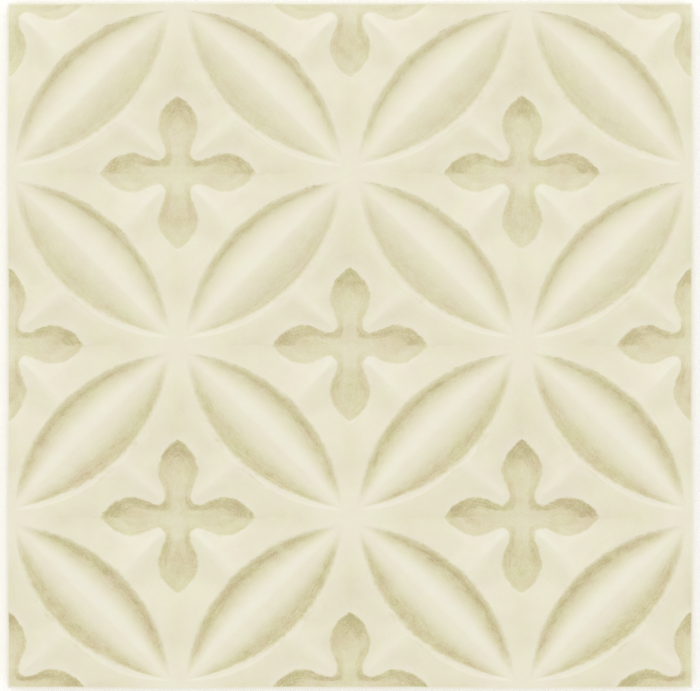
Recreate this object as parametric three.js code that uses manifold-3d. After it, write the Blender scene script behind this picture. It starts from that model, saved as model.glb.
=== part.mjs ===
// A pressed and glazed ceramic wall tile with a carved face.
// Circles overlap on a square lattice. Where two circles cross they leave a pointed petal, laid on the diagonal
// of its lattice square: a pillow with a crest, in a trough with sloping walls. The middle of each circle is a
// four-sided field whose ridges run out along the diagonals, and a flower of four pointed leaves is sunk in it.
// Flowers and the points where four petals meet take turns on the lattice, and the tile's sides run through both.
// The tile lies on its back: X and Y along its sides, +Z out of the carved face, origin at the back's centre.

import * as THREE from "three";
import { mergeVertices } from "three/addons/utils/BufferGeometryUtils.js";
import Module from "manifold-3d";

// Driving dimensions, in millimetres. Depths are measured down from the highest ridges.
const pitch = 37; // side of a lattice square, which holds one petal
const petalsAcross = 4;
const thickness = 10; // from the back to the highest ridges

const bandWidth = 1.7; // raised band between a petal's rim and the full circle
const crestDepth = 0.3;
const petalDepth = 1.85; // trough below the crest, at the petal's middle
const flankCurve = 1.36; // 1 makes the pillow's flanks flat, more makes them bulge
const wallWidth = 2.4; // sloping wall inside the rim, at the petal's middle

const leafLength = 16.8; // flower's centre to a leaf's tip
const leafHalfWidth = 4.5;
const leafWidest = 10; // distance of the widest place from the flower's centre
const leafShoulder = 3.2; // how far the outline runs level on both sides of the widest place
const leafPointRun = 0.8; // how the outline runs up to the blunt tip, along the leaf and across it
const leafPointRise = 1.9;
const notch = 3.3; // where two leaves meet on the diagonal, as an x and a y
const notchCurl = 1.6; // how far the outline swings from the notch into a leaf's neck
const leafDepth = 3; // groove along a leaf's middle
const leafTipWall = 4.4; // length of the slope inside a leaf's tip
const kneeWidth = 1; // steep wall inside the outline, down to the groove's flatter sides
const kneeDepth = 1.95;
const neckRise = 0.7; // the groove is this much higher in the neck
const neckPlace = 4.5;
const neckReach = 2.5;

const ridgeSlope = 0.075; // fall of the diagonal ridges towards the flower's centre, per millimetre
const ridgeReach = 14.7; // distance from the flower's centre at which a ridge is level
const facetSlope = 0.22; // fall of a facet beside its ridge, per millimetre
const spurSlope = 0.2; // rise of the facets in front of a leaf's tip, per millimetre
const spurTurn = 30; // the way they rise, in degrees from the line through the leaf
const spurReach = 23.8; // distance from the flower's centre at which that line is level

const arrisRadius = 0.7; // rounding between the face and the sides, and of the four corners
const arrisBand = 3; // outermost part of the pattern, drawn in to make room for the rounding

const keyDepth = 0.7; // shallow square pockets in the back, which key the adhesive
const keysAcross = 6;
const keyRib = 4;
const keyBorder = 6;

// How finely the curved shapes are divided
const outlineSteps = 6;
const spurSteps = 4;
const rimSteps = outlineSteps + spurSteps;
const rimSpread = 1.4; // 1 gives equal steps round a rim, more gives shorter ones at the petal's middle
const fieldShares = [0, 0.5, 1];
const flankShares = [0, 0.55, 1];
const arrisSteps = 2;

// Worked out from those
const side = pitch * petalsAcross;
const half = side / 2;
const crestOffset = pitch / Math.SQRT2; // a circle's centre to the crest of its petals
const rimRadius = pitch - bandWidth;
const petalHalfLength = Math.sqrt(rimRadius ** 2 - crestOffset ** 2);
const rimSweep = Math.acos(crestOffset / rimRadius);
const petalHalfWidth = rimRadius - crestOffset;
const wallShare = wallWidth / petalHalfWidth;

// One sector is the eighth of a flower between the X axis and the diagonal. All the face is made of its copies.
// Its corners are the flower's centre, the crossing at (pitch, 0) and the petal's middle at (pitch/2, pitch/2).

// Half of a leaf's outline, from the notch over the widest place to the tip
function leafOutline() {
  const outline = new THREE.Path();
  outline.moveTo(notch, notch);
  outline.bezierCurveTo(
    notch + notchCurl, notch - notchCurl,
    leafWidest - leafShoulder, leafHalfWidth,
    leafWidest, leafHalfWidth,
  );
  outline.bezierCurveTo(
    leafWidest + leafShoulder, leafHalfWidth,
    leafLength - leafPointRun, leafPointRise,
    leafLength, 0,
  );
  return outline;
}
const outlinePoints = leafOutline().getSpacedPoints(outlineSteps);

// A place in the petal, from its distance along the crest and across it
function petalPlace(along, across) {
  const x = pitch / 2 + (along - across) / Math.SQRT2;
  const y = pitch / 2 - (along + across) / Math.SQRT2;
  return [x, y];
}

// Heights, in millimetres below the highest ridges
function fieldHeight(x, y) {
  const alongRidge = (x + y) / Math.SQRT2;
  const offRidge = (x - y) / Math.SQRT2;
  const facet = -ridgeSlope * (ridgeReach - alongRidge) - facetSlope * offRidge;
  const turn = THREE.MathUtils.degToRad(spurTurn);
  const spur = -spurSlope * ((spurReach - x) * Math.cos(turn) - y * Math.sin(turn));
  return Math.min(0, Math.max(facet, spur));
}

function grooveHeight(x) {
  return -leafDepth + neckRise * Math.exp(-(((x - neckPlace) / neckReach) ** 2));
}

function flankHeight(along, across) {
  const crest = -crestDepth * (1 - (along / petalHalfLength) ** 6);
  return crest - petalDepth * (across / (petalHalfWidth - wallWidth)) ** flankCurve;
}

// The sector's lines, each a row of points from the diagonal or the petal's middle towards the X axis
function point(x, y, height) {
  return new THREE.Vector3(x, y, thickness + height);
}

const rimPlaces = Array.from({ length: rimSteps + 1 }, (_, i) => {
  const angle = rimSweep * (i / rimSteps) ** rimSpread;
  return { along: rimRadius * Math.sin(angle), across: rimRadius * Math.cos(angle) - crestOffset };
});

function petalLines() {
  const flanks = flankShares.map((share) =>
    rimPlaces.map(({ along, across }) => {
      const off = across * (1 - wallShare) * share;
      return point(...petalPlace(along, off), flankHeight(along, off));
    }),
  );
  const rim = rimPlaces.map(({ along, across }) => {
    const [x, y] = petalPlace(along, across);
    return point(x, y, fieldHeight(x, y));
  });
  return [...flanks, rim];
}

// From the leaf's outline and the spur in line with it, across to the petal's rim
function fieldLines() {
  const inner = outlinePoints.map(({ x, y }) => [x, y]);
  for (let i = 1; i <= spurSteps + 1; i++) {
    inner.push([leafLength + ((pitch - leafLength) * i) / (spurSteps + 1), 0]);
  }
  const outer = rimPlaces.map(({ along, across }) => petalPlace(along, across));
  outer.push([pitch, 0]);
  return fieldShares.map((share) =>
    inner.map(([innerX, innerY], i) => {
      const [outerX, outerY] = outer[i];
      const x = innerX + (outerX - innerX) * share;
      const y = innerY + (outerY - innerY) * share;
      return point(x, y, fieldHeight(x, y));
    }),
  );
}

// The groove along the leaf's middle, the knee between its sides and the steep wall, and the outline
function leafLines() {
  const grooveShare = (leafLength - leafTipWall) / leafLength;
  const groove = outlinePoints.map(({ x }, i) => {
    const along = i === 0 ? 0 : x * grooveShare;
    return point(along, 0, grooveHeight(along));
  });
  const outline = outlinePoints.map(({ x, y }) => point(x, y, fieldHeight(x, y)));
  const knee = outline.map((edge, i) => {
    if (i === outlineSteps) return groove[i];
    const reach = Math.hypot(edge.x - groove[i].x, edge.y);
    const share = kneeWidth / reach;
    const height = -Math.min(kneeDepth, leafDepth);
    return point(edge.x + (groove[i].x - edge.x) * share, edge.y * (1 - share), height);
  });
  return [groove, knee, outline];
}

// Triangles between neighbouring lines, seen from above anticlockwise. Where a line ends in a point they close up.
function skin(lines) {
  const triangles = [];
  const add = (a, b, c) => {
    const turn = (b.x - a.x) * (c.y - a.y) - (b.y - a.y) * (c.x - a.x);
    if (Math.abs(turn) > 1e-6) triangles.push(turn > 0 ? [a, b, c] : [a, c, b]);
  };
  for (let row = 1; row < lines.length; row++) {
    for (let i = 1; i < lines[row].length; i++) {
      const [inner, outer] = [lines[row - 1], lines[row]];
      add(inner[i - 1], outer[i - 1], outer[i]);
      add(inner[i - 1], outer[i], inner[i]);
    }
  }
  return triangles;
}

const sector = [petalLines(), fieldLines(), leafLines()].flatMap(skin);

// The pattern's last few millimetres are drawn in by the arris radius.
function drawIn(value) {
  const start = half - arrisBand;
  const beyond = Math.abs(value) - start;
  if (beyond <= 0) return value;
  return Math.sign(value) * (start + (beyond * (arrisBand - arrisRadius)) / arrisBand);
}

const isFlower = (column, row) => (column + row) % 2 === 0;

// Each lattice square takes four copies of the sector: two from each of the flowers at its opposite corners.
function faceTriangles() {
  const triangles = [];
  for (let column = 0; column < petalsAcross; column++) {
    for (let row = 0; row < petalsAcross; row++) {
      for (const [right, up] of [[0, 0], [1, 0], [0, 1], [1, 1]]) {
        if (!isFlower(column + right, row + up)) continue;
        const centre = [(column + right) * pitch - half, (row + up) * pitch - half];
        const [signX, signY] = [right ? -1 : 1, up ? -1 : 1];
        for (const swapped of [false, true]) {
          const place = ({ x, y, z }) => new THREE.Vector3(
            drawIn(centre[0] + signX * (swapped ? y : x)),
            drawIn(centre[1] + signY * (swapped ? x : y)),
            z,
          );
          const mirrored = signX * signY * (swapped ? -1 : 1) < 0;
          for (const [a, b, c] of sector) {
            triangles.push(mirrored ? [place(a), place(c), place(b)] : [place(a), place(b), place(c)]);
          }
        }
      }
    }
  }
  return triangles;
}

// The face's edge along one side, from one corner of the tile to the next: the sector's points on the X axis
function sideProfile(firstCorner) {
  const [leafMiddle] = leafLines();
  const [innerLine] = fieldLines();
  const flowerToCrossing = [...leafMiddle, ...innerLine.slice(outlineSteps)];
  const profile = [];
  for (let square = 0; square < petalsAcross; square++) {
    const fromFlower = isFlower(square, firstCorner);
    const run = flowerToCrossing.map(({ x, z }) => ({
      at: drawIn(square * pitch + (fromFlower ? x : pitch - x) - half),
      height: z,
    }));
    if (!fromFlower) run.reverse();
    profile.push(...run.slice(square ? 1 : 0));
  }
  return profile;
}

// Rings round the tile: the face's edge, the rounded arris, and the back's edge
function sideTriangles() {
  const rings = Array.from({ length: arrisSteps + 2 }, () => []);
  const inner = half - arrisRadius;
  for (let quarter = 0; quarter < 4; quarter++) {
    const turn = (quarter * Math.PI) / 2;
    const profile = sideProfile(quarter % 2 ? 0 : petalsAcross);
    const addPoint = (at, height, angle) => {
      const outward = new THREE.Vector2(Math.cos(angle), Math.sin(angle));
      const base = new THREE.Vector2(inner, at).rotateAround(new THREE.Vector2(), turn);
      rings.forEach((ring, i) => {
        const roll = (Math.min(i, arrisSteps) / arrisSteps) * (Math.PI / 2);
        const reach = arrisRadius * Math.sin(roll);
        const z = i > arrisSteps ? 0 : height - arrisRadius * (1 - Math.cos(roll));
        ring.push(new THREE.Vector3(base.x + outward.x * reach, base.y + outward.y * reach, z));
      });
    };
    profile.forEach(({ at, height }) => addPoint(at, height, turn));
    const corner = profile.at(-1);
    addPoint(corner.at, corner.height, turn + Math.PI / 4);
  }
  const triangles = [];
  const count = rings[0].length;
  for (let row = 1; row < rings.length; row++) {
    for (let i = 0; i < count; i++) {
      const next = (i + 1) % count;
      const [upper, lower] = [rings[row - 1], rings[row]];
      triangles.push([upper[i], lower[i], lower[next]]);
      if (upper[i].distanceTo(upper[next]) > 1e-6) triangles.push([upper[i], lower[next], upper[next]]);
    }
  }
  const back = rings.at(-1);
  const centre = new THREE.Vector3(0, 0, 0);
  back.forEach((corner, i) => triangles.push([centre, back[(i + 1) % count], corner]));
  return triangles;
}

// Solids
const wasm = await Module();
wasm.setup();

function solidOf(geometry) {
  const bare = geometry.clone();
  bare.deleteAttribute("normal");
  bare.deleteAttribute("uv");
  const merged = mergeVertices(bare, 1e-4);
  return new wasm.Manifold(new wasm.Mesh({
    numProp: 3,
    vertProperties: merged.attributes.position.array,
    triVerts: new Uint32Array(merged.index.array),
  }));
}

function geometryOf(solid) {
  const mesh = solid.getMesh();
  const geometry = new THREE.BufferGeometry();
  geometry.setAttribute("position", new THREE.BufferAttribute(mesh.vertProperties, 3));
  geometry.setIndex(new THREE.BufferAttribute(mesh.triVerts, 1));
  geometry.computeVertexNormals();
  return geometry;
}

function carvedSlab() {
  const triangles = [...faceTriangles(), ...sideTriangles()];
  const snap = (value) => Math.round(value * 1e4) / 1e4; // so that copies share their edges' points exactly
  const positions = triangles.flat().flatMap(({ x, y, z }) => [snap(x), snap(y), snap(z)]);
  const geometry = new THREE.BufferGeometry();
  geometry.setAttribute("position", new THREE.Float32BufferAttribute(positions, 3));
  return solidOf(geometry);
}

function withBackKeys(slab) {
  const key = (side - 2 * keyBorder - (keysAcross - 1) * keyRib) / keysAcross;
  const first = -half + keyBorder + key / 2;
  const box = new THREE.BoxGeometry(key, key, 2 * keyDepth);
  let tile = slab;
  for (let column = 0; column < keysAcross; column++) {
    for (let row = 0; row < keysAcross; row++) {
      const pocket = solidOf(box).translate(first + column * (key + keyRib), first + row * (key + keyRib), 0);
      tile = tile.subtract(pocket);
    }
  }
  return tile;
}

const glaze = new THREE.MeshStandardMaterial({ color: 0xe6e0c8, roughness: 0.3, metalness: 0 });

const tile = new THREE.Mesh(geometryOf(withBackKeys(carvedSlab())), glaze);
tile.name = "relief_tile";

const part = new THREE.Group();
part.add(tile);

export default part;
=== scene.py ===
# A pressed ceramic wall tile: overlapping circles leave pointed petals, and flowers of four leaves are sunk
# between. All sizes below are in millimetres. The finished mesh is in metres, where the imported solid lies.

import math

import bmesh
import bpy
import numpy as np
from mathutils import Matrix, Vector
from mathutils.geometry import interpolate_bezier
from mathutils.noise import fractal


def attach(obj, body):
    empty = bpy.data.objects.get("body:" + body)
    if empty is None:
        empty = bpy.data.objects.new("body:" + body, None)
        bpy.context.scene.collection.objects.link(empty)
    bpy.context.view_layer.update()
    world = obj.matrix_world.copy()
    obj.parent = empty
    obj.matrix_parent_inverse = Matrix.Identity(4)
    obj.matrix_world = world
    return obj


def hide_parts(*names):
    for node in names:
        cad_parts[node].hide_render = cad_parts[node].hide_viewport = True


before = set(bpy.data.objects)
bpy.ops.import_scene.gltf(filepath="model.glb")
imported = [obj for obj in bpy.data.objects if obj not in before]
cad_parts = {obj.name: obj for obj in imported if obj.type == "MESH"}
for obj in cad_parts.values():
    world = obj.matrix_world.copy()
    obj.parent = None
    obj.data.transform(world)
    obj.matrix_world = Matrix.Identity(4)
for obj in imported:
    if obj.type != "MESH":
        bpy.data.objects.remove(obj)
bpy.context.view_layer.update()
print("frame loaded")

scene = bpy.context.scene
mm = 0.001
weldDistance = 0.001          # mm


# The carved face. One sector is an eighth of a flower, between the X axis and the diagonal of a lattice
# square. Its corners are the flower's centre, the crossing at (pitch, 0) and the petal's middle at
# (pitch/2, pitch/2).

tile = {
    "pitch": 37,              # side of a lattice square, which holds one petal
    "petalsAcross": 4,
    "thickness": 10,          # back to the highest ridges
    "arrisRadius": 0.7,       # rounding between face and sides
    "arrisBand": 3,           # outermost part of the pattern, drawn in to make room for it
    "cornerRadius": 1.1,      # of the four corners, seen from above
    "footChamfer": 0.35,      # under the sides
    "sideRings": (4.5, 2.0),  # heights of the rings round the sides
    "unevenness": 0.05,       # slow waves that pressing and firing leave
    "waveScale": 0.02,        # of them in a millimetre
    "wavePlace": (3, 7, 0),   # where in the noise they lie
    "waveLevel": 0.3,         # value of the noise that leaves the drawn height
    "sharpAngle": 50,         # degrees between faces that don't shade smoothly into each other
}

petal = {
    "bandWidth": 1.7,         # raised band between the rim and the full circle
    "crestDepth": 0.3,
    "crestLevel": 6,          # a higher power keeps the crest level further out, before it rises to the tips
    "crestRound": 0.2,
    "flankFall": 0.185,       # the flank falls by this times the distance to the power of flankCurve
    "flankCurve": 1.25,
    "wallSlope": 0.95,
    "wallWidth": 2.4,
    "troughRound": 0.5,
    "rimRound": 0.3,
}

leaf = {
    "length": 16.8,           # flower's centre to the tip
    "halfWidth": 4.5,
    "widest": 10,
    "shoulder": 3.2,          # how far the outline runs level beside the widest place
    "pointRun": 0.8,          # how it runs up to the blunt tip, along and across
    "pointRise": 1.9,
    "notch": 3.3,             # where two leaves meet, as an x and a y
    "notchCurl": 1.6,
    "edgeDepth": 1.55,
    "wallSlope": 0.45,
    "middleDepth": 2.8,       # of the floor where the four leaves meet
    "neckDepth": 2.2,
    "neckPlace": 4.5,
    "endDepth": 3.0,          # of the floor where the tip's wall begins
    "endPlace": 12,
    "crease": 0.06,           # slope of the floor down to the leaf's middle line
    "grooveShort": 0.9,       # that line ends this share of the half width before the tip
    "edgeRound": 0.15,
}

field = {
    "ridgeSlope": 0.075,      # fall of the diagonal ridges towards the flower
    "ridgeReach": 14.7,
    "facetSlope": 0.22,       # fall of a facet beside its ridge
    "ridgeRound": 0.12,
    "ridgeWiden": 0.02,       # how much rounder it gets along its way to the rim
    "spurSlope": 0.2,         # rise of the facets in front of a leaf's tip
    "spurTurn": 30,           # the way they rise, in degrees
    "spurReach": 23.8,
    "valleyRound": 0.25,
    "topRound": 0.4,
}

back = {
    "keysAcross": 6,          # shallow pockets that key the adhesive
    "keyDepth": 0.7,
    "keyRib": 4,
    "keyBorder": 6,
    "keyDraft": 0.25,         # slope of a pocket's walls
    "keyRound": 0.2,
}

divisions = {
    "curve": 60,              # points on each half of the leaf's outline, before it is divided
    "outline": 20,
    "outlineSpread": 1.25,    # as rimSpread, shorter at the notch
    "beyondNotch": 5,         # steps of the mirrored outline that still count for a distance from it
    "beyondTip": 7,
    "spur": 12,
    "rim": 30,
    "rimSpread": 1.4,         # 1 is equal steps, more makes shorter ones at the petal's middle
    "flank": 11,
    "flankSpread": 1.25,      # shorter at the crest
    "wall": 9,
    "field": 14,
    "leaf": 14,
    "leafSpread": 1.3,        # shorter at the outline
    "arris": 4,
}

side = tile["pitch"] * tile["petalsAcross"]
half = side / 2
inner = half - tile["arrisRadius"]
crestOffset = tile["pitch"] / math.sqrt(2)
rimRadius = tile["pitch"] - petal["bandWidth"]
rimSweep = math.acos(crestOffset / rimRadius)
petalHalfLength = rimRadius * math.sin(rimSweep)


def smoothMax(a, b, blend):
    near = np.maximum(blend - np.abs(a - b), 0) / blend
    return np.maximum(a, b) + near * near * blend / 4


def smoothMin(a, b, blend):
    return -smoothMax(-a, -b, blend)


def leafOutline():
    notch = Vector((leaf["notch"], leaf["notch"], 0))
    widest = Vector((leaf["widest"], leaf["halfWidth"], 0))
    tip = Vector((leaf["length"], 0, 0))
    curl = Vector((leaf["notchCurl"], -leaf["notchCurl"], 0))
    shoulder = Vector((leaf["shoulder"], 0, 0))
    point = Vector((-leaf["pointRun"], leaf["pointRise"], 0))
    curve = interpolate_bezier(notch, notch + curl, widest - shoulder, widest, divisions["curve"])
    curve += interpolate_bezier(widest, widest + shoulder, tip + point, tip, divisions["curve"])[1:]
    places = np.array([p[:2] for p in curve])
    run = np.append(0, np.cumsum(np.hypot(*np.diff(places, axis=0).T)))
    steps = run[-1] * np.linspace(0, 1, divisions["outline"] + 1) ** divisions["outlineSpread"]
    return np.stack([np.interp(steps, run, places[:, 0]), np.interp(steps, run, places[:, 1])], 1)


outline = leafOutline()


def insideLeaf(x, y):
    # distance in from the outline, less than 0 outside it
    beyondNotch = outline[divisions["beyondNotch"]:0:-1, ::-1]
    beyondTip = outline[-2:-2 - divisions["beyondTip"]:-1] * [1, -1]
    line = np.concatenate([beyondNotch, outline, beyondTip])
    nearest = np.full(x.shape, np.inf)
    for start, end in zip(line, line[1:]):
        run = end - start
        share = np.clip(((x - start[0]) * run[0] + (y - start[1]) * run[1]) / (run @ run), 0, 1)
        distance = np.hypot(x - start[0] - share * run[0], y - start[1] - share * run[1])
        nearest = np.minimum(nearest, distance)
    width = np.interp(x, outline[:, 0], outline[:, 1], left=leaf["notch"], right=0)
    return np.where((y < width) & (x < leaf["length"]), nearest, -nearest)


def insideRim(x, y):
    return rimRadius - np.hypot(tile["pitch"] - x, tile["pitch"] - y)


def fieldHeight(x, y):
    turn = math.radians(field["spurTurn"])
    alongRidge = (x + y) / math.sqrt(2)
    facet = -field["ridgeSlope"] * (field["ridgeReach"] - alongRidge)
    rounding = field["ridgeRound"] + field["ridgeWiden"] * np.maximum(alongRidge - leaf["notch"], 0)
    beside = np.sqrt((x - y) ** 2 / 2 + rounding ** 2) - rounding
    facet = facet - field["facetSlope"] * beside
    spur = -field["spurSlope"] * ((field["spurReach"] - x) * math.cos(turn) - y * math.sin(turn))
    return smoothMin(smoothMax(facet, spur, field["valleyRound"]), 0, field["topRound"])


def petalHeight(x, y):
    along = np.clip((x - y) / math.sqrt(2) / petalHalfLength, 0, 1)
    across = crestOffset - (x + y) / math.sqrt(2)
    across = np.maximum(np.sqrt(across ** 2 + petal["crestRound"] ** 2) - petal["crestRound"], 0)
    crest = -petal["crestDepth"] * (1 - along ** petal["crestLevel"])
    flank = crest - petal["flankFall"] * across ** petal["flankCurve"]
    return smoothMax(flank, -petal["wallSlope"] * insideRim(x, y), petal["troughRound"])


def leafWall(x, y):
    return -leaf["edgeDepth"] - leaf["wallSlope"] * insideLeaf(x, y)


def leafFloor(x, y):
    places = (0, leaf["neckPlace"], leaf["endPlace"])
    middle = np.interp(x, places, (-leaf["middleDepth"], -leaf["neckDepth"], -leaf["endDepth"]))
    return middle + leaf["crease"] * y


def relief(x, y):
    carved = smoothMin(fieldHeight(x, y), petalHeight(x, y), petal["rimRound"])
    return smoothMin(carved, np.maximum(leafWall(x, y), leafFloor(x, y)), leaf["edgeRound"])


# How much glaze stands at a place: 0 where it is thin, 1 where it fills the carving. Painted shade and light
# are added to it: slopes that face the lower edge, away from the key light, are painted darker, and slopes
# that
# face up paler. Towards the lower edge the petals' pool lies at the foot of their walls and the leaves are
# darker:
# painted shade of the different way the light falls on the lower rows.

poolAndShade = {
    "rimShare": 0.62,         # of the full depth, just inside a petal's rim
    "rimFull": 1.7,           # distance inside the rim from which it is full
    "flankPool": 0.68,        # on the petals' flanks near the tile's upper edge
    "flankFull": 0.78,        # share of the petal's half width from which it is full
    "flankFade": 1.6,
    "footPool": 1.06,         # at the walls' foot near its lower edge
    "footStart": 0.2,         # share of the half width from which it deepens
    "lowStart": 30,           # above the tile's middle, where the first begins to turn into the second
    "lowEnd": 45,             # below the middle, where it has
    "lowSlopeShade": 0.3,            # share of the painted slope shade that is left there on slopes that face down
    "petalTip": 5.0,          # half width below which it thins out
    "line": 0.13,             # dark line at the wall's foot, fading towards the lower edge
    "linePlace": 1.5,
    "lineWidth": 0.4,
    "leafWall": 0.8,
    "leafLine": 0.08,         # darker line inside the outline
    "leafLinePlace": 0.9,
    "leafLineWidth": 0.7,
    "leafCrisp": 1.8,         # how much crisper and finer the glaze's border and streaks are in a leaf
    "leafMiddle": 0.46,
    "leafEnd": 0.8,
    "leafTip": 0.12,          # more on the wall round the tip
    "tipStart": 12,
    "tipEnd": 13.5,
    "facet": 0.17,
    "valley": 0.16,           # more between the facets in front of a leaf's tip
    "valleyReach": 3.5,
    "facetReach": 2.5,        # from the ridge
    "fieldStart": 1,          # inside a petal's rim, where the field's glaze begins
    "fieldFull": -0.5,
    "nodeStart": 33,          # from the flower's centre, where it thins out again
    "nodeFull": 24,
    "thinnest": -0.2,         # the palest that the painted light on slopes facing up makes it
    "leafLow": 0.08,          # share by which leaves are painted darker near the lower edge and paler near the upper: painted shade
    "rimPale": 2.2,           # how far above a petal's rim the field is painted pale where it faces down: painted light, partly thin glaze
    "leafPale": 2.6,          # the same above a leaf
    "paleShadeFull": 0.06,          # painted slope shade from which that shows fully
    "litBorderShift": 1.7,         # how far the pooled border moves down a wall that faces up, to the key light: painted highlight, partly thin glaze
    "wallSlopeShade": 0.35,          # painted shade on a slope that faces down, away from the key light, for each unit of its steepness; painted light on one that faces up
    "flankSlopeShade": 1.1,
    "flankStart": 1.5,        # distances inside the petal's rim, from the wall's painted slope shade to the flank's
    "flankEnd": 5.5,
    "leafSlopeShade": 0.67,
    # more painted shade on the walls round the leaves' tips: it paints the shadow in the end of the leaf
    # whose tip points to the upper edge
    "tipSlopeShade": 0.3,
    "fieldSlopeShade": 0.6,
    "arris": 0.5,             # how much thinner on the tile's edge
}


def smoothStep(value, start, end):
    share = np.clip((value - start) / (end - start), 0, 1)
    return share * share * (3 - 2 * share)


def petalPoolAndShade(x, y):
    along, across = (x - y) / math.sqrt(2), crestOffset - (x + y) / math.sqrt(2)
    width = np.sqrt(np.maximum(rimRadius ** 2 - along ** 2, 0)) - crestOffset
    inRim = insideRim(x, y)
    share = np.clip(across / np.maximum(width, 0.1) / poolAndShade["flankFull"], 0, 1)
    line = poolAndShade["line"] * np.exp(-((inRim - poolAndShade["linePlace"]) / poolAndShade["lineWidth"]) ** 2)
    filled = poolAndShade["rimShare"] + (1 - poolAndShade["rimShare"]) * smoothStep(inRim, 0, poolAndShade["rimFull"])
    ends = smoothStep(width, 0, poolAndShade["petalTip"])
    high = poolAndShade["flankPool"] * share ** poolAndShade["flankFade"]
    low = poolAndShade["footPool"] * smoothStep(share, poolAndShade["footStart"], 1)
    return (high * filled + line) * ends, low * filled * ends


def leafTip(x, y):
    onWall = leafWall(x, y) > leafFloor(x, y)
    return np.where(onWall, smoothStep(x, poolAndShade["tipStart"], poolAndShade["tipEnd"]), 0)


def leafPoolAndShade(x, y):
    inside = insideLeaf(x, y)
    floor = np.interp(x, (0, leaf["endPlace"]), (poolAndShade["leafMiddle"], poolAndShade["leafEnd"]))
    level = np.where(leafWall(x, y) > leafFloor(x, y), np.maximum(floor, poolAndShade["leafWall"]), floor)
    level = level + poolAndShade["leafTip"] * leafTip(x, y)
    fromLine = (inside - poolAndShade["leafLinePlace"]) / poolAndShade["leafLineWidth"]
    level += poolAndShade["leafLine"] * np.exp(-fromLine ** 2)
    return level * (1 - poolAndShade["leafLow"]), level * (1 + poolAndShade["leafLow"])


def fieldPool(x, y):
    facet = smoothStep((x - y) / math.sqrt(2), 0, poolAndShade["facetReach"])
    valley = smoothStep(y, poolAndShade["valleyReach"], 0)
    deep = poolAndShade["facet"] * facet + poolAndShade["valley"] * valley
    outside = smoothStep(insideRim(x, y), poolAndShade["fieldStart"], poolAndShade["fieldFull"])
    return deep * smoothStep(x, poolAndShade["nodeStart"], poolAndShade["nodeFull"]) * outside


def petalSlopeShade(x, y):
    flank = smoothStep(insideRim(x, y), poolAndShade["flankStart"], poolAndShade["flankEnd"])
    return poolAndShade["wallSlopeShade"] + (poolAndShade["flankSlopeShade"] - poolAndShade["wallSlopeShade"]) * flank


def leafSlopeShade(x, y):
    return poolAndShade["leafSlopeShade"] + poolAndShade["tipSlopeShade"] * leafTip(x, y)


# The sector's three patches are grids, drawn between the lines of the pattern.

def petalPlace(along, across):
    return np.array([tile["pitch"] / 2 + (along - across) / math.sqrt(2),
                     tile["pitch"] / 2 - (along + across) / math.sqrt(2)])


def rimLine():
    angles = rimSweep * np.linspace(0, 1, divisions["rim"] + 1) ** divisions["rimSpread"]
    return rimRadius * np.sin(angles), rimRadius * np.cos(angles) - crestOffset


rimAlong, rimAcross = rimLine()


def petalPatch(i, row):
    width = rimAcross[i]
    wall = petal["wallWidth"] * (1 - math.exp(-width / petal["wallWidth"])) if width > 1e-6 else 0
    if row <= divisions["flank"]:
        across = (width - wall) * (row / divisions["flank"]) ** divisions["flankSpread"]
    else:
        across = width - wall * (1 - (row - divisions["flank"]) / divisions["wall"])
    return petalPlace(rimAlong[i], across)


def fieldPatch(i, row):
    steps = divisions["outline"] + divisions["spur"]
    tip = divisions["outline"]
    if i <= tip:
        innerPlace = outline[i]
    else:
        share = (i - tip) / divisions["spur"]
        innerPlace = np.array([leaf["length"] + (tile["pitch"] - leaf["length"]) * share, 0])
    if i <= divisions["rim"]:
        outerPlace = petalPlace(rimAlong[i], rimAcross[i])
    else:
        rimEnd = petalPlace(rimAlong[-1], 0)
        share = (i - divisions["rim"]) / (steps - divisions["rim"])
        outerPlace = rimEnd + (np.array([tile["pitch"], 0]) - rimEnd) * share
    share = (1 - math.cos(math.pi * row / divisions["field"])) / 2
    return innerPlace + (outerPlace - innerPlace) * share


def leafPatch(i, row):
    grooveEnd = leaf["length"] - leaf["halfWidth"] * leaf["grooveShort"]
    groove = np.array([outline[i][0] * grooveEnd / leaf["length"] if i else 0, 0])
    share = 1 - (1 - row / divisions["leaf"]) ** divisions["leafSpread"]
    return groove + (outline[i] - groove) * share


def addPatch(face, place, steps, rows):
    grid = bmesh.ops.create_grid(face, x_segments=steps, y_segments=rows, size=0.5)
    for vert in grid["verts"]:
        i, row = round((vert.co.x + 0.5) * steps), round((vert.co.y + 0.5) * rows)
        vert.co.xy = place(i, row)


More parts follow.
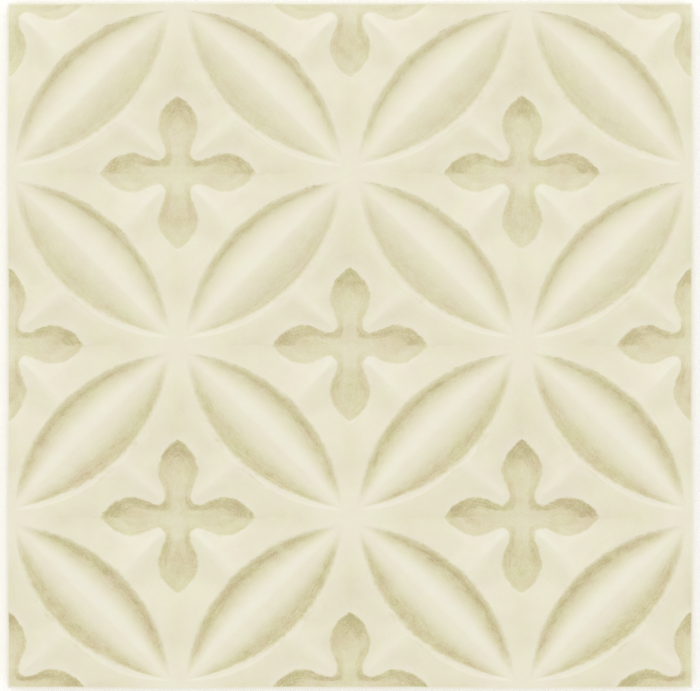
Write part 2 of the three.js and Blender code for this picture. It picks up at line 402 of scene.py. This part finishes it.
def buildSector():
    face = bmesh.new()
    addPatch(face, petalPatch, divisions["rim"], divisions["flank"] + divisions["wall"])
    addPatch(face, fieldPatch, divisions["outline"] + divisions["spur"], divisions["field"])
    addPatch(face, leafPatch, divisions["outline"], divisions["leaf"])
    bmesh.ops.remove_doubles(face, verts=face.verts, dist=weldDistance)
    x, y = np.array([vert.co.xy for vert in face.verts]).T
    heights = relief(x, y)
    inPetal, inLeaf = insideRim(x, y), insideLeaf(x, y)
    # weight of the painted slope shade: darker where a slope faces down, paler where it faces up
    run = np.where(inPetal > 0, petalSlopeShade(x, y), poolAndShade["fieldSlopeShade"])
    fromPetal = smoothStep(-inPetal, 0, poolAndShade["rimPale"])
    fromLeaf = smoothStep(-inLeaf, 0, poolAndShade["leafPale"])
    high, low = (np.where(inPetal > inLeaf, *pools) for pools in zip(petalPoolAndShade(x, y), leafPoolAndShade(x, y)))
    values = {
        "thinPoolAndShade": fieldPool(x, y),
        "deepPoolAndShade": high,
        "lowDeep": low,
        "paintedSlopeShade": np.where(inLeaf > 0, leafSlopeShade(x, y), run),
        "lowSlopeShade": np.where(inLeaf > 0, leafSlopeShade(x, y), run * poolAndShade["lowSlopeShade"]),
        "edgeShare": np.minimum(fromPetal, fromLeaf),
        "rimInside": np.maximum(inPetal, inLeaf * poolAndShade["leafCrisp"]),
    }
    for vert, height in zip(face.verts, heights):
        vert.co.z = tile["thickness"] + height
    for name in values:
        layer = face.verts.layers.float.new(name)
        for vert, value in zip(face.verts, values[name]):
            vert[layer] = value
    return face


def mirrorFace(face, through, turn, axis):
    plane = Matrix.Translation(through) @ Matrix.Rotation(math.radians(turn), 4, "Z")
    geometry = face.verts[:] + face.edges[:] + face.faces[:]
    bmesh.ops.mirror(face, geom=geometry, matrix=plane.inverted(), merge_dist=-1, axis=axis)
    bmesh.ops.remove_doubles(face, verts=face.verts, dist=weldDistance)


def buildFace():
    face = buildSector()
    pitch = tile["pitch"]
    mirrorFace(face, (0, 0, 0), 45, "Y")                 # over the diagonal ridge
    mirrorFace(face, (pitch / 2, pitch / 2, 0), 45, "X")  # over the petal's crest
    for reach in (pitch, 2 * pitch):                     # two, then four lattice squares each way
        mirrorFace(face, (reach, 0, 0), 0, "X")
        mirrorFace(face, (0, reach, 0), 0, "Y")
    bmesh.ops.translate(face, verts=face.verts, vec=(-half, -half, 0))
    return face


def drawIn(value):
    start = half - tile["arrisBand"]
    beyond = abs(value) - start
    if beyond <= 0:
        return value
    squeezed = beyond * (tile["arrisBand"] - tile["arrisRadius"]) / tile["arrisBand"]
    return math.copysign(start + squeezed, value)


# Rings round the tile, each extruded from the last: the arris, the side, and the chamfer under it

def extrudeRing(body, edges, outward, place):
    result = bmesh.ops.extrude_edge_only(body, edges=edges)
    verts = [item for item in result["geom"] if isinstance(item, bmesh.types.BMVert)]
    for vert in verts:
        for axis in (0, 1):
            if abs(vert.co[axis]) > inner - weldDistance:
                vert.co[axis] += outward * math.copysign(1, vert.co[axis])
        vert.co.z = place(vert.co.z)
    return [item for item in result["geom"] if isinstance(item, bmesh.types.BMEdge)], verts


def vertexLayers(body, *names):
    return [body.verts.layers.float[name] for name in names]


def addSides(body):
    thinPoolAndShade, deepPoolAndShade, lowDeep, paintedSlopeShade, lowSlopeShade = vertexLayers(
        body, "thinPoolAndShade", "deepPoolAndShade", "lowDeep", "paintedSlopeShade", "lowSlopeShade")
    ring = [edge for edge in body.edges if edge.is_boundary]
    radius = tile["arrisRadius"]
    for i in range(divisions["arris"]):
        roll, nextRoll = (math.pi / 2 * step / divisions["arris"] for step in (i, i + 1))
        outward = radius * (math.sin(nextRoll) - math.sin(roll))
        drop = radius * (math.cos(roll) - math.cos(nextRoll))
        ring, verts = extrudeRing(body, ring, outward, lambda z: z - drop)
        for vert in verts:
            vert[thinPoolAndShade] = vert[deepPoolAndShade] = vert[lowDeep] = -poolAndShade["arris"] * math.sin(nextRoll)
            vert[paintedSlopeShade] = vert[lowSlopeShade] = 0
    for height in (*tile["sideRings"], tile["footChamfer"]):
        ring, verts = extrudeRing(body, ring, 0, lambda z: height)
        for vert in verts:
            vert[thinPoolAndShade] = vert[deepPoolAndShade] = vert[lowDeep] = 0
    extrudeRing(body, ring, -tile["footChamfer"], lambda z: 0)


def roundCorners(body):
    start = half - tile["cornerRadius"]
    for vert in body.verts:
        offset = Vector((abs(vert.co.x) - start, abs(vert.co.y) - start))
        if min(offset) > 0:
            offset *= max(offset) / offset.length
            vert.co.x = math.copysign(start + offset.x, vert.co.x)
            vert.co.y = math.copysign(start + offset.y, vert.co.y)


def addBack(body):
    count = back["keysAcross"]
    key = (side - 2 * back["keyBorder"] - (count - 1) * back["keyRib"]) / count
    lines = [-half + back["keyBorder"] / 2]
    for i in range(count):
        start = -half + back["keyBorder"] + i * (key + back["keyRib"])
        lines += [start, start + key]
    lines.append(-lines[0])
    steps = len(lines) - 1
    grid = bmesh.ops.create_grid(body, x_segments=steps, y_segments=steps, size=0.5)
    cells = {cell for vert in grid["verts"] for cell in vert.link_faces}
    pockets = []
    for cell in cells:
        middle = cell.calc_center_median()
        if all(int((middle[axis] + 0.5) * steps) % 2 for axis in (0, 1)):
            pockets.append(cell)
    for vert in grid["verts"]:
        for axis in (0, 1):
            vert.co[axis] = lines[round((vert.co[axis] + 0.5) * steps)]
    pockets.sort(key=lambda cell: tuple(cell.calc_center_median()))
    rims = [edge for cell in pockets for edge in cell.edges]
    bmesh.ops.inset_individual(body, faces=pockets, thickness=back["keyDraft"], depth=back["keyDepth"])
    bmesh.ops.bevel(body, geom=rims, offset=back["keyRound"], segments=2, profile=0.5, affect="EDGES",
                    material=-1)
    openEdges = [edge for edge in body.edges if edge.is_boundary]
    bmesh.ops.triangle_fill(body, edges=openEdges, use_beauty=True)


# Painted shade and light: a slope that faces the lower edge, away from the key light, is painted darker, and
# one that faces up paler.
def paintShadeAndLight(body):
    thinPoolAndShade, deepPoolAndShade, lowDeep, paintedSlopeShade, lowSlopeShade, edgeShare, rimInside = vertexLayers(
        body, "thinPoolAndShade", "deepPoolAndShade", "lowDeep", "paintedSlopeShade", "lowSlopeShade", "edgeShare", "rimInside")
    body.normal_update()
    for vert in body.verts:
        # towards the lower edge the pools move to the foot of the walls and the slopes' painted shade
        # weakens: painted shade of how the light falls on the lower rows
        low = smoothStep(-vert.co.y, -poolAndShade["lowStart"], poolAndShade["lowEnd"])
        vert[deepPoolAndShade] += (vert[lowDeep] - vert[deepPoolAndShade]) * low
        if vert.normal.y < 0:
            vert[paintedSlopeShade] += (vert[lowSlopeShade] - vert[paintedSlopeShade]) * low
        vert[paintedSlopeShade] *= -vert.normal.y
        for layer in (thinPoolAndShade, deepPoolAndShade):
            vert[layer] = max(vert[layer] + vert[paintedSlopeShade], min(vert[layer], poolAndShade["thinnest"]))
        # near a rim or a leaf, slopes of the field that face down lose their painted shade and pool: painted
        # light along the rims, partly thin glaze there
        if vert[thinPoolAndShade] > 0:
            facesDown = smoothStep(vert[paintedSlopeShade], 0, poolAndShade["paleShadeFull"])
            vert[thinPoolAndShade] *= 1 - facesDown * (1 - vert[edgeShare])
        # on walls that face up, to the key light, the pooled border moves down: painted highlight on their
        # tops, partly thin glaze there
        vert[rimInside] -= poolAndShade["litBorderShift"] * max(vert.normal.y, 0)


def buildTile():
    body = buildFace()
    print("face carved:", len(body.faces), "faces")
    for vert in body.verts:
        vert.co.x, vert.co.y = drawIn(vert.co.x), drawIn(vert.co.y)
    addSides(body)
    roundCorners(body)
    addBack(body)
    top = tile["thickness"] - tile["unevenness"]
    for vert in body.verts:
        if vert.co.z > tile["thickness"] / 2:
            wave = fractal(vert.co * tile["waveScale"] + Vector(tile["wavePlace"]), 1, 2, 2)
            raised = vert.co.z + tile["unevenness"] * (wave - tile["waveLevel"])
            vert.co.z = min(raised, max(top, vert.co.z))
    bmesh.ops.recalc_face_normals(body, faces=body.faces)
    paintShadeAndLight(body)
    for polygon in body.faces:
        polygon.smooth = True
    bmesh.ops.scale(body, vec=(mm, mm, mm), verts=body.verts)
    mesh = bpy.data.meshes.new("reliefTile")
    body.to_mesh(mesh)
    body.free()
    mesh.set_sharp_from_angle(angle=math.radians(tile["sharpAngle"]))
    piece = bpy.data.objects.new("reliefTile", mesh)
    scene.collection.objects.link(piece)
    return piece


# Materials

def linear(hexColour):
    channels = [int(hexColour[i:i + 2], 16) / 255 for i in (1, 3, 5)]
    return [c / 12.92 if c <= 0.04045 else ((c + 0.055) / 1.055) ** 2.4 for c in channels] + [1]


def addNode(tree, kind, settings=None, links=None):
    node = tree.nodes.new(kind)
    for name, value in (settings or {}).items():
        setattr(node, name, value)
    for name, value in (links or {}).items():
        socket = node.inputs[name]
        if isinstance(value, bpy.types.NodeSocket):
            tree.links.new(value, socket)
        else:
            socket.default_value = value
    return node


glaze = {
    "edge": "#eeeee4",        # thin and greyer white over an arris
    "thin": "#ebe6d1",
    "middle": "#e0dbbc",
    "pool": "#d8cfa7",
    "deep": "#cdc397",
    "deepest": "#bfb384",
    "biscuit": "#e6ddcc",
    "edgeDepth": -0.5,        # depth of the glaze that shows as the edge's colour
    "deepestDepth": 1.7,
    "shares": {"thin": 0.205, "middle": 0.45, "pool": 0.65, "deep": 0.78},  # where the others stand between
    "mottle": 2.6,            # mm
    "mottleSwing": 0.9,       # how much deeper and shallower it makes a pool look
    "grain": 0.4,             # mm, crystals in the pooled glaze, drawn coarse enough to show
    "grainSwing": 1.0,
    "streakLength": 2.4,      # mm, streaks in the pooled glaze, along the rims
    "streakWidth": 0.5,       # mm
    "streakWarp": 0.8,        # how much they bend
    "streakSwing": 1.0,
    "faintest": 0.2,          # depth below which the marks grow no fainter
    "jag": 1.1,               # mm, between the bends in the border of the pooled glaze
    "waver": 1.5,             # mm, how far the border could wander from the rim
    "borderStart": -0.3,      # mm inside the rim, from thin glaze to pooled glaze
    "borderEnd": 0.8,
    "lineInside": 0.25,       # mm from the border, a thin line
    "lineWidth": 0.2,         # mm, half of it
    "lineDepth": 0.8,         # how much darker it makes the colour
    "lineBreaks": (0.46, 0.6),  # the mottle's value from which it shows, and where it shows fully
    "lineShadowSide": (0.04, 0.15),  # the same of the painted slope shade, so that it shows only on walls that face down
    "tint": 5.0,              # mm, patches that fired greener or browner
    "tintSwing": 0.07,        # share of the colour circle
    "peel": 1.6,              # mm, slow dimples of a poured surface
    "marksBump": 0.3,         # height of crystals and streaks against these dimples
    "bumpHeight": 0.05,       # mm
    "bareFrom": 2.1,          # mm, the glaze ends between these heights
    "bareTo": 1.8,
    "bareRagged": 1.2,        # mm, how far that line could wander
    "glazeRough": 0.36,
    "bareRough": 0.85,
}


# A lead-free satin glaze, poured over white earthenware and fired: it runs thin and pale on ridges and edges,
# and stands in the carving, where it turns olive beige and shows fine crystals.
# Its colour also holds the tile's painted shade and light from the vertex layers, and a painted shadow line
# under the upper rims.
def satinGlazeWithPaintedShade():
    material = bpy.data.materials.new("satinGlazeWithPaintedShade")
    material.use_nodes = True
    tree = material.node_tree
    shader = tree.nodes["Principled BSDF"]
    place = addNode(tree, "ShaderNodeTexCoord").outputs["Object"]
    thin, deep, inside, shadeSide = [
        addNode(tree, "ShaderNodeAttribute", {"attribute_name": name}).outputs["Fac"]
        for name in ("thinPoolAndShade", "deepPoolAndShade", "rimInside", "paintedSlopeShade")]
    mottle, grain, tint, jag, peel = [
        addNode(tree, "ShaderNodeTexNoise", None,
                {"Vector": place, "Scale": 1 / (glaze[name] * mm), "Detail": detail}).outputs["Fac"]
        for name, detail in (("mottle", 3.0), ("grain", 2.0), ("tint", 3.0), ("jag", 3.0), ("peel", 1.0))]

    # the border between the thin and the pooled glaze wavers along the rims
    middle = glaze["waver"] / 2
    wander = addNode(tree, "ShaderNodeMath", {"operation": "MULTIPLY_ADD"},
                     {0: jag, 1: glaze["waver"], 2: inside}).outputs[0]
    border = addNode(tree, "ShaderNodeMapRange", {"interpolation_type": "SMOOTHSTEP"},
                     {"Value": wander, "From Min": glaze["borderStart"] + middle,
                      "From Max": glaze["borderEnd"] + middle}).outputs["Result"]
    more = addNode(tree, "ShaderNodeMath", {"operation": "SUBTRACT"}, {0: deep, 1: thin}).outputs[0]
    pool = addNode(tree, "ShaderNodeMath", {"operation": "MULTIPLY_ADD"},
                   {0: border, 1: more, 2: thin}).outputs[0]

    # streaks follow the rims: they change slowly over the tile, and quickly with the distance from a rim
    across = addNode(tree, "ShaderNodeMath", {"operation": "DIVIDE"},
                     {0: inside, 1: glaze["streakWidth"]}).outputs[0]
    across = addNode(tree, "ShaderNodeCombineXYZ", None, {"Z": across}).outputs[0]
    slowly = 1 / (glaze["streakLength"] * mm)
    along = addNode(tree, "ShaderNodeVectorMath", {"operation": "MULTIPLY_ADD"},
                    {0: place, 1: (slowly, slowly, 0), 2: across}).outputs[0]
    streak = addNode(tree, "ShaderNodeTexNoise", None,
                     {"Vector": along, "Scale": 1.0, "Detail": 2.0,
                      "Distortion": glaze["streakWarp"]}).outputs["Fac"]

    # crystals, streaks and mottling show mostly where the glaze is deep
    depth = addNode(tree, "ShaderNodeMath", {"operation": "MAXIMUM"},
                    {0: pool, 1: glaze["faintest"]}).outputs[0]
    crystals, clouds, lines = [
        addNode(tree, "ShaderNodeMath", {"operation": "MULTIPLY_ADD"},
                {0: noise, 1: glaze[name], 2: -glaze[name] / 2}).outputs[0]
        for noise, name in ((grain, "grainSwing"), (mottle, "mottleSwing"), (streak, "streakSwing"))]
    marks = addNode(tree, "ShaderNodeMath", {"operation": "ADD"}, {0: crystals, 1: clouds}).outputs[0]
    marks = addNode(tree, "ShaderNodeMath", {"operation": "ADD"}, {0: marks, 1: lines}).outputs[0]
    varied = addNode(tree, "ShaderNodeMath", {"operation": "MULTIPLY_ADD"},
                     {0: marks, 1: depth, 2: pool}).outputs[0]

    # a thin broken dark line under the upper rims, only on walls that face the lower edge, away from the key
    # light: painted shadow at the wall's top, partly a glaze line, broken by the mottle
    aside = addNode(tree, "ShaderNodeMath", {"operation": "SUBTRACT"},
                    {0: wander, 1: glaze["lineInside"] + middle}).outputs[0]
    aside = addNode(tree, "ShaderNodeMath", {"operation": "ABSOLUTE"}, {0: aside}).outputs[0]
    line = addNode(tree, "ShaderNodeMapRange", {"interpolation_type": "SMOOTHSTEP"},
                   {"Value": aside, "From Min": glaze["lineWidth"], "From Max": 0.0}).outputs["Result"]
    shadowSide = addNode(tree, "ShaderNodeMapRange", None,
                    {"Value": shadeSide, "From Min": glaze["lineShadowSide"][0],
                     "From Max": glaze["lineShadowSide"][1]}).outputs["Result"]
    broken = addNode(tree, "ShaderNodeMapRange", {"interpolation_type": "SMOOTHSTEP"},
                     {"Value": mottle, "From Min": glaze["lineBreaks"][0], "From Max": glaze["lineBreaks"][1],
                      "To Max": glaze["lineDepth"]}).outputs["Result"]
    line = addNode(tree, "ShaderNodeMath", {"operation": "MULTIPLY"}, {0: line, 1: shadowSide}).outputs[0]
    varied = addNode(tree, "ShaderNodeMath", {"operation": "MULTIPLY_ADD"},
                     {0: line, 1: broken, 2: varied}).outputs[0]

    spread = addNode(tree, "ShaderNodeMapRange", None,
                     {"Value": varied, "From Min": glaze["edgeDepth"],
                      "From Max": glaze["deepestDepth"]}).outputs["Result"]
    ramp = addNode(tree, "ShaderNodeValToRGB", None, {"Fac": spread})
    stops = ramp.color_ramp.elements
    stops[0].position, stops[0].color = 0.0, linear(glaze["edge"])
    stops[1].position, stops[1].color = 1.0, linear(glaze["deepest"])
    for name, share in glaze["shares"].items():
        stops.new(share).color = linear(glaze[name])
    hue = addNode(tree, "ShaderNodeMath", {"operation": "MULTIPLY_ADD"},
                  {0: tint, 1: glaze["tintSwing"], 2: 0.5 - glaze["tintSwing"] / 2}).outputs[0]
    tinted = addNode(tree, "ShaderNodeHueSaturation", None, {"Hue": hue, "Color": ramp.outputs["Color"]})

    # the bare body shows below the glaze's ragged lower edge on the sides, and on the back
    height = addNode(tree, "ShaderNodeSeparateXYZ", None, {0: place}).outputs["Z"]
    ragged = addNode(tree, "ShaderNodeMath", {"operation": "MULTIPLY_ADD"},
                     {0: mottle, 1: glaze["bareRagged"] * mm, 2: height}).outputs[0]
    bare = addNode(tree, "ShaderNodeMapRange", {"interpolation_type": "SMOOTHSTEP"},
                   {"Value": ragged, "From Min": glaze["bareFrom"] * mm,
                    "From Max": glaze["bareTo"] * mm}).outputs["Result"]
    colour = addNode(tree, "ShaderNodeMix", {"data_type": "RGBA"})
    tree.links.new(bare, colour.inputs["Factor"])
    tree.links.new(tinted.outputs["Color"], colour.inputs["A"])
    colour.inputs["B"].default_value = linear(glaze["biscuit"])
    tree.links.new(colour.outputs["Result"], shader.inputs["Base Color"])
    rough = addNode(tree, "ShaderNodeMapRange", None,
                    {"Value": bare, "To Min": glaze["glazeRough"],
                     "To Max": glaze["bareRough"]}).outputs["Result"]
    tree.links.new(rough, shader.inputs["Roughness"])
    shader.inputs["IOR"].default_value = 1.5

    bumps = addNode(tree, "ShaderNodeMath", {"operation": "ADD"}, {0: grain, 1: streak}).outputs[0]
    bumps = addNode(tree, "ShaderNodeMath", {"operation": "MULTIPLY"}, {0: bumps, 1: depth}).outputs[0]
    bumps = addNode(tree, "ShaderNodeMath", {"operation": "MULTIPLY_ADD"},
                    {0: bumps, 1: glaze["marksBump"], 2: peel}).outputs[0]
    bump = addNode(tree, "ShaderNodeBump", None,
                   {"Height": bumps, "Strength": 0.5, "Distance": glaze["bumpHeight"] * mm})
    tree.links.new(bump.outputs["Normal"], shader.inputs["Normal"])
    return material


# Matt white emulsion, rolled on a smooth board: no reflections, only the soft shadow at the tile's foot.
def paleFloorPaint():
    material = bpy.data.materials.new("paleFloorPaint")
    material.use_nodes = True
    shader = material.node_tree.nodes["Principled BSDF"]
    shader.inputs["Base Color"].default_value = linear("#fbfbf9")
    shader.inputs["Roughness"].default_value = 0.9
    shader.inputs["Emission Color"].default_value = (1, 1, 1, 1)
    shader.inputs["Emission Strength"].default_value = 0.08  # a lit table, for the white round the tile
    return material


# The studio

studio = {
    "floorSize": 4.0,         # metres
    "cameraHeight": 1.6,      # metres above the face
    "viewWidth": 150.4,       # mm across the picture
    "ambient": 0.94,
    "keyPower": 2.5,          # watts
    "keySize": 1.2,           # metres
    "keyPlace": (-0.15, 1.1, 1.1),
}


def buildStudio():
    floor = bmesh.new()
    bmesh.ops.create_grid(floor, x_segments=1, y_segments=1, size=studio["floorSize"] / 2)
    mesh = bpy.data.meshes.new("floor")
    floor.to_mesh(mesh)
    floor.free()
    ground = bpy.data.objects.new("floor", mesh)
    ground.data.materials.append(paleFloorPaint())
    scene.collection.objects.link(ground)

    world = bpy.data.worlds.new("softRoom")
    world.use_nodes = True
    world.node_tree.nodes["Background"].inputs["Color"].default_value = (1, 1, 1, 1)
    world.node_tree.nodes["Background"].inputs["Strength"].default_value = studio["ambient"]
    scene.world = world

    key = bpy.data.lights.new("softKey", "AREA")
    key.energy = studio["keyPower"]
    key.size = studio["keySize"]
    lamp = bpy.data.objects.new("softKey", key)
    lamp.location = studio["keyPlace"]
    lamp.rotation_euler = (-Vector(studio["keyPlace"])).to_track_quat("-Z", "Y").to_euler()
    scene.collection.objects.link(lamp)

    camera = bpy.data.cameras.new("camera")
    camera.sensor_width = 36  # mm
    distance = studio["cameraHeight"]
    camera.lens = camera.sensor_width * distance / (studio["viewWidth"] * mm)
    eye = bpy.data.objects.new("camera", camera)
    eye.location = (0, 0, distance + tile["thickness"] * mm)
    scene.collection.objects.link(eye)
    scene.camera = eye
    scene.view_settings.view_transform = "Standard"


reliefTile = buildTile()
reliefTile.data.materials.append(satinGlazeWithPaintedShade())
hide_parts("relief_tile")
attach(reliefTile, "root")
print("tile built:", len(reliefTile.data.polygons), "faces")

buildStudio()
print("studio set")

bpy.context.view_layer.update()
